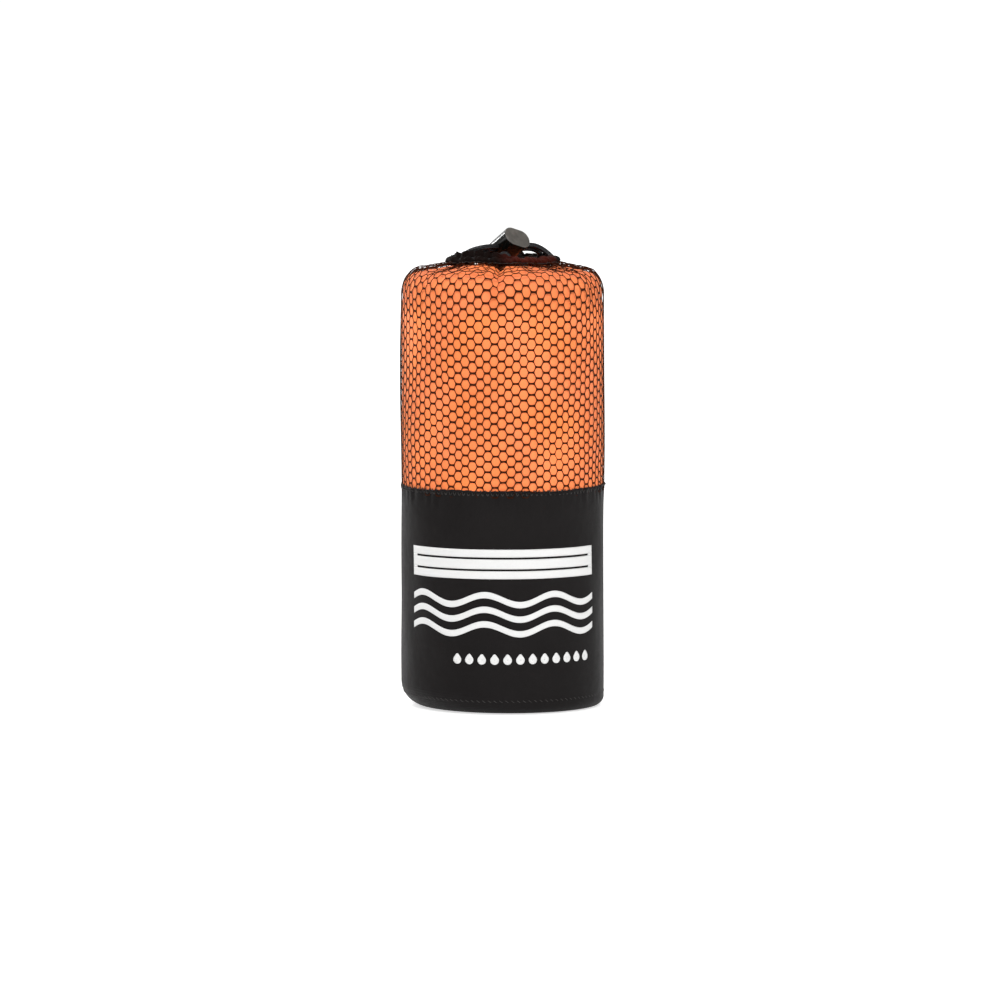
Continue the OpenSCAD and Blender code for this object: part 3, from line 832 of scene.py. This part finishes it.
def drop_patches():
    """Row of drops: a circle whose radius grows by a narrow bell of height tip above it."""
    size, tip, tip_width, first, step, heart = 1.9, 0.414, 0.42, -26, 7.2, 0.04
    centre = (DROPS_LOW[2] + DROPS_HIGH[2]) / 2 - 0.4
    around = np.linspace(0, 2 * np.pi, 49)
    reach = 1 + tip * np.exp(-((around - np.pi / 2) / tip_width) ** 2)
    share = np.linspace(1, heart, 4)[:, None]
    x = size * share * (reach * np.cos(around))[None, :]
    z = size * share * (reach * np.sin(around))[None, :]
    return [(front(turn) + x / BODY_R, centre + z) for turn in np.arange(first, PRINT_HALF, step)]


print_band = add_print("print_bars", "print_band", band_patches())
print_waves = add_print("print_ripples", "print_waves", wave_patches())
print_drops = add_print("print_drips", "print_drops", drop_patches())

# --- cord lock ---

LOCK_AT = np.array([1.5, -3.5, 202.8])
LOCK_AXIS = np.array([0.5752, -0.6169, 0.5373])
LOCK_SIDE = np.array([0.7314, 0.6820, 0.0])


def add_spring():
    """The lock's spring: a steel wire wound round the lock's axis between the plunger and the closed end."""
    low, high, fixed_end, coils, radius, wire_r = 3.8, 7.4, 7.6, 4, 2.7, 0.25
    up = np.cross(LOCK_AXIS, LOCK_SIDE)
    t = np.linspace(0, 1, 220)[:, None]
    angle = t * 2 * np.pi * coils
    line = LOCK_AT + LOCK_AXIS * (low + (high - low) * t)
    line = line + radius * (np.cos(angle) * LOCK_SIDE + np.sin(angle) * up)
    points, faces = tube(line, wire_r, 8)
    piece = make_piece("spring_wire", points, faces, ["lock_spring"], body="barrel")
    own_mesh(piece)
    return piece


spring = add_spring()

# --- cord in the channel ---


def add_loop():
    """The part of the drawcord that lies in the channel, between the two exits.

    It lies in the middle of the hem and comes back to the channel's height near each exit.
    """
    exit_share, short, sides = 0.35, 0.02, 12
    start = np.arctan2(STRAND_B[0][1], STRAND_B[0][0])
    end = np.arctan2(STRAND_A[0][1], STRAND_A[0][0]) + 2 * np.pi
    turn = np.linspace(start + short, end - short, 200)
    inside = smoothstep(0, exit_share, turn - start) * smoothstep(0, exit_share, end - turn)
    level = CHANNEL_Z + (hem_lift(turn) - CHANNEL_Z) * inside
    line = np.stack([CHANNEL_R * np.cos(turn), CHANNEL_R * np.sin(turn), level], axis=1)
    points, faces = tube(line, CORD_D / 2, sides)
    return make_piece("cord_in_channel", points, faces, ["drawcord_loop"],
                      uv=tube_uv(len(points), sides, CHANNEL_R * (end - start)))


cords.append(add_loop())

# --- materials ---

WEAVE = 0.42  # pitch of weave and knit: finer in the real cloth, drawn coarse enough to show


def linear(code):
    """Linear colour from an sRGB hex code."""
    value = np.array([int(code[i:i + 2], 16) for i in (1, 3, 5)]) / 255
    value = np.where(value <= 0.04045, value / 12.92, ((value + 0.055) / 1.055) ** 2.4)
    return (*value, 1.0)


def node(tree, kind, inputs, out=0, **settings):
    """Add a shader node, set its properties, set or link its inputs, and give one of its outputs."""
    made = tree.nodes.new(kind)
    for key, value in settings.items():
        setattr(made, key, value)
    for key, value in inputs.items():
        if isinstance(value, bpy.types.NodeSocket):
            tree.links.new(value, made.inputs[key])
        else:
            made.inputs[key].default_value = value
    return made.outputs[out]


def finish_of(name, colour, roughness, **values):
    """A material with one principled shader; colour is an sRGB hex code."""
    material = bpy.data.materials.new(name)
    material.use_nodes = True
    tree = material.node_tree
    tree.nodes.clear()
    sockets = {key.replace("_", " "): value for key, value in values.items()}
    surface = node(tree, "ShaderNodeBsdfPrincipled",
                   {"Base Color": linear(colour), "Roughness": roughness, **sockets})
    tree.links.new(surface, tree.nodes.new("ShaderNodeOutputMaterial").inputs["Surface"])
    return material, tree, surface.node


def dress(tree, shader, height, distance, shade=None):
    """Relief, where a height of 1 stands this many millimetres off the surface, and a linked colour."""
    relief = node(tree, "ShaderNodeBump", {"Height": height, "Distance": distance * MM, "Strength": 1.0})
    tree.links.new(relief, shader.inputs["Normal"])
    if shade is not None:
        tree.links.new(shade, shader.inputs["Base Color"])


def cloth_axes(tree):
    """The piece's own millimetre coordinates: along and across."""
    uv = node(tree, "ShaderNodeUVMap", {}, uv_map="cloth")
    parts = node(tree, "ShaderNodeSeparateXYZ", {0: uv}).node
    return parts.outputs[0], parts.outputs[1]


def object_mm(tree):
    """Object coordinates in millimetres."""
    place = node(tree, "ShaderNodeTexCoord", {}, "Object")
    return node(tree, "ShaderNodeVectorMath", {0: place, 3: 1 / MM}, operation="SCALE")


def cloudy(tree, place, scale, detail=2.0):
    """Soft clouds about 1 / scale millimetres across, 0 to 1."""
    return node(tree, "ShaderNodeTexNoise", {"Vector": place, "Scale": scale, "Detail": detail})


def shaded(tree, factor, low, high):
    """Colour that goes from one hex code to another as the factor goes from 0 to 1."""
    return node(tree, "ShaderNodeMix", {0: factor, 6: linear(low), 7: linear(high)}, 2, data_type="RGBA")


def wave_of(tree, value, pitch):
    """Sine of a millimetre coordinate, 0 to 1 over each pitch."""
    turned = node(tree, "ShaderNodeMath", {0: value, 1: 2 * np.pi / pitch}, operation="MULTIPLY")
    sine = node(tree, "ShaderNodeMath", {0: turned}, operation="SINE")
    return node(tree, "ShaderNodeMath", {0: sine, 1: 0.5, 2: 0.5}, operation="MULTIPLY_ADD")


def nylon_finish():
    """Nylon taffeta, dyed black and calendered: a dull, faintly cloudy black with slight creases."""
    material, tree, shader = finish_of("nylon taffeta, dyed", "#1c1a19", 0.5, Specular_IOR_Level=0.05)
    along, across = cloth_axes(tree)
    weave = node(tree, "ShaderNodeMath", {0: wave_of(tree, along, WEAVE), 1: wave_of(tree, across, WEAVE)},
                 operation="MULTIPLY")
    place = object_mm(tree)
    threads = node(tree, "ShaderNodeMath", {0: weave, 1: 0.05}, operation="MULTIPLY")
    creased = node(tree, "ShaderNodeMath", {0: cloudy(tree, place, 0.11), 1: 0.5, 2: threads},
                   operation="MULTIPLY_ADD")
    dress(tree, shader, creased, 1.0, shaded(tree, cloudy(tree, place, 0.05, 3.0), "#110f0f", "#191717"))
    return material


# centre and reach, in millimetres, of a patch of painted shade on the hem, for the towel in shadow seen
# through the net
SHADE_PATCH_AT, SHADE_PATCH_FAR, SHADE_PATCH_NEAR = (12.0, -16.0, 198.0), 18.0, 8.0


def net_finish(name, low, high, painted_shade=None):
    """Polyester net, warp-knitted: dull dark strands with the knit's loops as a fine rib.

    The optional last colour is painted shade: a dark red-brown laid over the front right of the hem for the
    towel in shadow inside the mouth, seen through the net.
    """
    material, tree, shader = finish_of(name, low, 0.6, Specular_IOR_Level=0.06)
    along, across = cloth_axes(tree)
    slant = node(tree, "ShaderNodeMath", {0: along, 1: across}, operation="ADD")
    place = object_mm(tree)
    shade = shaded(tree, cloudy(tree, place, 0.35), low, high)
    if painted_shade:
        # painted shade: a dark red-brown patch round the hem's front right, cloudy at its edge
        far = node(tree, "ShaderNodeVectorMath", {0: place, 1: SHADE_PATCH_AT}, 1, operation="DISTANCE")
        near = node(tree, "ShaderNodeMapRange", {0: far, 1: SHADE_PATCH_FAR, 2: SHADE_PATCH_NEAR},
                    interpolation_type="SMOOTHSTEP")
        patches = node(tree, "ShaderNodeMath", {0: cloudy(tree, place, 0.28), 1: 0.3}, operation="ADD")
        near = node(tree, "ShaderNodeMath", {0: near, 1: patches}, operation="MULTIPLY")
        shade = node(tree, "ShaderNodeMix", {0: near, 6: shade, 7: linear(painted_shade)}, 2, data_type="RGBA")
    dress(tree, shader, wave_of(tree, slant, WEAVE), 0.05, shade)
    return material


def towel_finish():
    """Microfibre, brushed suede: a short dense nap that lightens where it leans, over slack folds."""
    material, tree, shader = finish_of("microfibre, brushed", "#f2843f", 0.85, Sheen_Weight=0.12,
                                       Sheen_Roughness=0.6, Sheen_Tint=linear("#ffc8a4"))
    place = object_mm(tree)
    nap = node(tree, "ShaderNodeMath", {0: cloudy(tree, place, 3.2), 1: 0.12}, operation="MULTIPLY")
    rumpled = node(tree, "ShaderNodeMath", {0: cloudy(tree, place, 0.4), 1: 0.35, 2: nap},
                   operation="MULTIPLY_ADD")
    dress(tree, shader, rumpled, 1.0, shaded(tree, cloudy(tree, place, 0.06, 3.0), "#e87426", "#ee7c50"))
    return material


def thread_finish(name, low, high, pitch):
    """Polyester thread, spun and plied: fine slanting strands whose colour follows their relief, lighter on
    the crests and darker in the grooves as painted shade.
    """
    material, tree, shader = finish_of(name, low, 0.6)
    parts = node(tree, "ShaderNodeSeparateXYZ", {0: object_mm(tree)}).node
    slant = node(tree, "ShaderNodeMath", {0: parts.outputs[2], 1: parts.outputs[0]}, operation="ADD")
    ply = wave_of(tree, slant, pitch)
    # painted shade: the grooves between the plies are coloured darker, the crests lighter
    dress(tree, shader, ply, 0.04, shaded(tree, ply, low, high))
    return material


def cord_finish():
    """Polyester cord, braided: strands cross in opposite spirals round the cord."""
    spirals, pitch = 4, 2.6
    material, tree, shader = finish_of("polyester cord, braided", "#1b1a1c", 0.5, Specular_IOR_Level=0.25)
    along, around = cloth_axes(tree)
    turned = node(tree, "ShaderNodeMath", {0: around, 1: spirals * 2 * np.pi}, operation="MULTIPLY")
    rise = node(tree, "ShaderNodeMath", {0: along, 1: 2 * np.pi / pitch}, operation="MULTIPLY")
    ways = []
    for way in ("ADD", "SUBTRACT"):
        phase = node(tree, "ShaderNodeMath", {0: rise, 1: turned}, operation=way)
        ways.append(node(tree, "ShaderNodeMath", {0: phase}, operation="SINE"))
    crossed = node(tree, "ShaderNodeMath", {0: ways[0], 1: ways[1]}, operation="MULTIPLY")
    braid = node(tree, "ShaderNodeMath", {0: crossed, 1: 0.5, 2: 0.5}, operation="MULTIPLY_ADD")
    # painted shade: the braid's grooves are coloured darker and its crests lighter, following the relief
    dress(tree, shader, braid, 0.25, shaded(tree, braid, "#070708", "#1c1a1d"))
    return material


def print_finish():
    """Plastisol ink, screen-printed on cloth: nearly white, matt, with the weave just showing through."""
    material, tree, shader = finish_of("plastisol ink, screen-printed", "#ececea", 0.55)
    grain = cloudy(tree, object_mm(tree), 1.6)
    dress(tree, shader, grain, 0.05, shaded(tree, grain, "#bfbfbe", "#cacac9"))
    return material


def plunger_finish():
    """Acetal, injection-moulded and polished: smooth, with a faint flow mottle in the gloss."""
    material, tree, shader = finish_of("acetal, moulded and polished", "#14120f", 0.3, Coat_Weight=0.15)
    place = object_mm(tree)
    dress(tree, shader, cloudy(tree, place, 2.5, 1.0), 0.015,
          shaded(tree, cloudy(tree, place, 0.5), "#14120f", "#1e1b17"))
    return material


def barrel_finish():
    """Acetal, injection-moulded: glossy dark flanks and a rougher closed face, painted a paler grey as a
    painted reflection of the studio light.
    """
    face_start, face_end, gloss, satin_gain = 8.55, 8.85, 0.2, 0.25
    material, tree, shader = finish_of("acetal, injection-moulded", "#0c0b09", gloss, Specular_IOR_Level=0.5)
    place = object_mm(tree)
    centre = node(tree, "ShaderNodeVectorMath", {0: place, 1: tuple(LOCK_AT)}, operation="SUBTRACT")
    depth = node(tree, "ShaderNodeVectorMath", {0: centre, 1: tuple(LOCK_AXIS)}, 1, operation="DOT_PRODUCT")
    face = node(tree, "ShaderNodeMapRange", {0: depth, 1: face_start, 2: face_end},
                interpolation_type="SMOOTHSTEP")
    # painted reflection: the closed face is painted a paler grey in soft clouds, standing for the light it
    # reflects
    painted_face_reflection = shaded(tree, cloudy(tree, place, 0.3), "#1c1a18", "#5e5953")
    shade = node(tree, "ShaderNodeMix", {0: face, 6: linear("#0c0b09"), 7: painted_face_reflection}, 2, data_type="RGBA")
    rough = node(tree, "ShaderNodeMath", {0: face, 1: satin_gain, 2: gloss}, operation="MULTIPLY_ADD")
    tree.links.new(rough, shader.inputs["Roughness"])
    dress(tree, shader, cloudy(tree, place, 2.5, 1.0), 0.01, shade)
    return material


def steel_finish():
    """Spring steel, drawn: a bright grey metal with a slight waviness from the die."""
    material, tree, shader = finish_of("spring steel, drawn", "#b9bcc0", 0.3, Metallic=1.0)
    dress(tree, shader, cloudy(tree, object_mm(tree), 6.0, 1.0), 0.01)
    return material


def paint(material, *pieces):
    """Give the pieces one material; a name stands for the CAD node that is shown as it is."""
    for piece in pieces:
        mesh = bpy.data.objects[piece].data if isinstance(piece, str) else piece.data
        mesh.materials.clear()
        mesh.materials.append(material)


paint(nylon_finish(), nylon, waist_bead)
paint(net_finish("polyester net, warp-knitted", "#200a00", "#3c1700"), *nets)
# the hem's last colour is painted shade, for the towel in shadow inside the mouth
paint(net_finish("polyester net, gathered in layers", "#080302", "#130805", "#42140a"), hem, frill)
paint(towel_finish(), towel)
paint(thread_finish("towel overlock thread, spun", "#b0561f", "#d9793a", 0.8), towel_edge)
paint(thread_finish("polyester thread, spun", "#0f0c0b", "#221e1b", 0.5),
      hem_stitches, bartack, waist_thread, base_seam, side_seam)
paint(print_finish(), print_band, print_waves, print_drops)
paint(cord_finish(), *cords)
paint(steel_finish(), spring)
paint(barrel_finish(), "lock_barrel")
paint(plunger_finish(), "lock_plunger")

# --- floor, light and colour ---


def add_card(name, corners, colour, roughness, glow):
    """A flat card that glows evenly: the studio's floor or its backdrop."""
    mesh = bpy.data.meshes.new(name)
    mesh.from_pydata(corners, [], [(0, 1, 2, 3)])
    card = bpy.data.objects.new(name, mesh)
    bpy.context.scene.collection.objects.link(card)
    material, _, _ = finish_of("studio " + name + ", matt card", colour, roughness,
                               Emission_Color=(1, 1, 1, 1), Emission_Strength=glow)
    mesh.materials.append(material)


def add_softbox(name, azimuth, elevation, distance, size, power, target=(0, 0, 0.12)):
    """Rectangular area light on a circle round the target, facing it."""
    light = bpy.data.lights.new(name, "AREA")
    light.shape = "RECTANGLE"
    light.size, light.size_y = size
    light.energy = power
    place_round(bpy.data.objects.new(name, light), azimuth, elevation, distance, target)


def set_world(strength):
    """Even white light from all round."""
    world = bpy.data.worlds.new("studio")
    world.use_nodes = True
    back = world.node_tree.nodes["Background"]
    back.inputs[0].default_value = (1, 1, 1, 1)
    back.inputs[1].default_value = strength
    bpy.context.scene.world = world


add_card("floor", [(-6, -6, 0), (6, -6, 0), (6, 6, 0), (-6, 6, 0)], "#e8e8e8", 0.3, glow=0.62)
add_card("backdrop", [(-6, 5, -1), (6, 5, -1), (6, 5, 6), (-6, 5, 6)], "#000000", 1.0, glow=1.02)
add_softbox("key", azimuth=9, elevation=38, distance=1.6, size=(0.9, 0.8), power=20)
add_softbox("fill", azimuth=-50, elevation=25, distance=1.8, size=(0.6, 1.2), power=8)
add_softbox("rim", azimuth=130, elevation=15, distance=1.2, size=(0.2, 0.12), power=2.5,
            target=(0, 0, 0.2))
add_softbox("crown", azimuth=100, elevation=62, distance=1.0, size=(0.4, 0.4), power=6,
            target=(0, 0, 0.19))
add_softbox("strip", azimuth=-82, elevation=10, distance=1.2, size=(0.12, 0.9), power=3)
set_world(0.3)
bpy.context.scene.view_settings.view_transform = "Standard"
